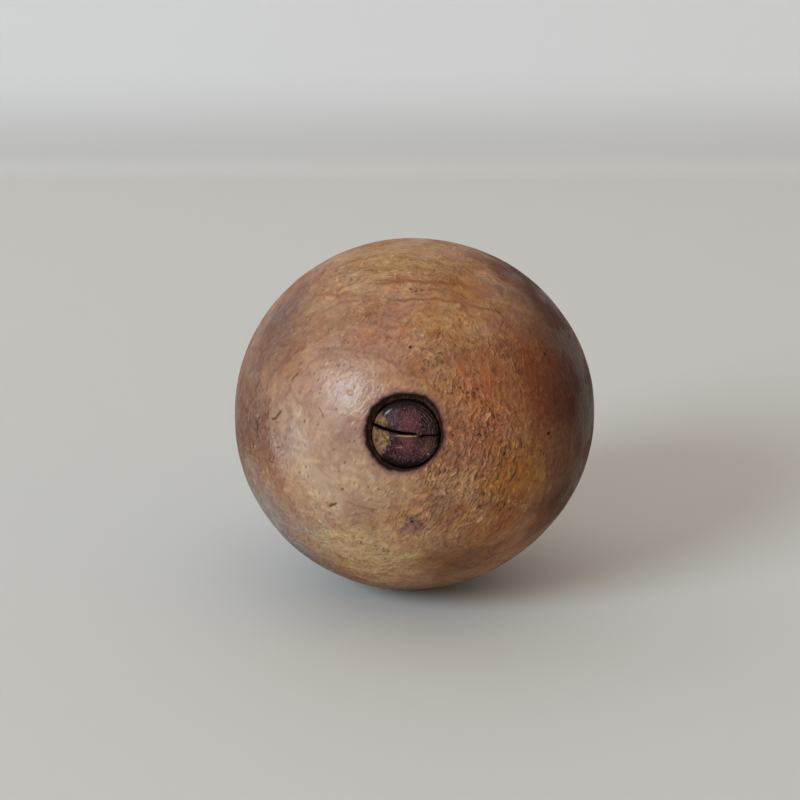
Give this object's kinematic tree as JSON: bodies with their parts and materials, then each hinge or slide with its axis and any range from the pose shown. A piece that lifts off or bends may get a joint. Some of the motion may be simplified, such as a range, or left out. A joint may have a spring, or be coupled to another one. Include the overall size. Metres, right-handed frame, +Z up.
{
  "type": "wooden ball",
  "caption": "Old turned wooden ball, a little out of round, with a cracked round wooden plug glued in a blind hole.",
  "frame": {"origin": "centre of the ball", "axes": "+Z up as the ball lies, the plug's end faces -Y and a little up"},
  "size_m": [0.0709, 0.0708, 0.0694],
  "materials": {
    "worn_wood": "satin",
    "stained_end_grain": "satin"
  },
  "bodies": {
    "root": {"ball": "worn_wood", "plug": "stained_end_grain"}
  },
  "joints": []
}
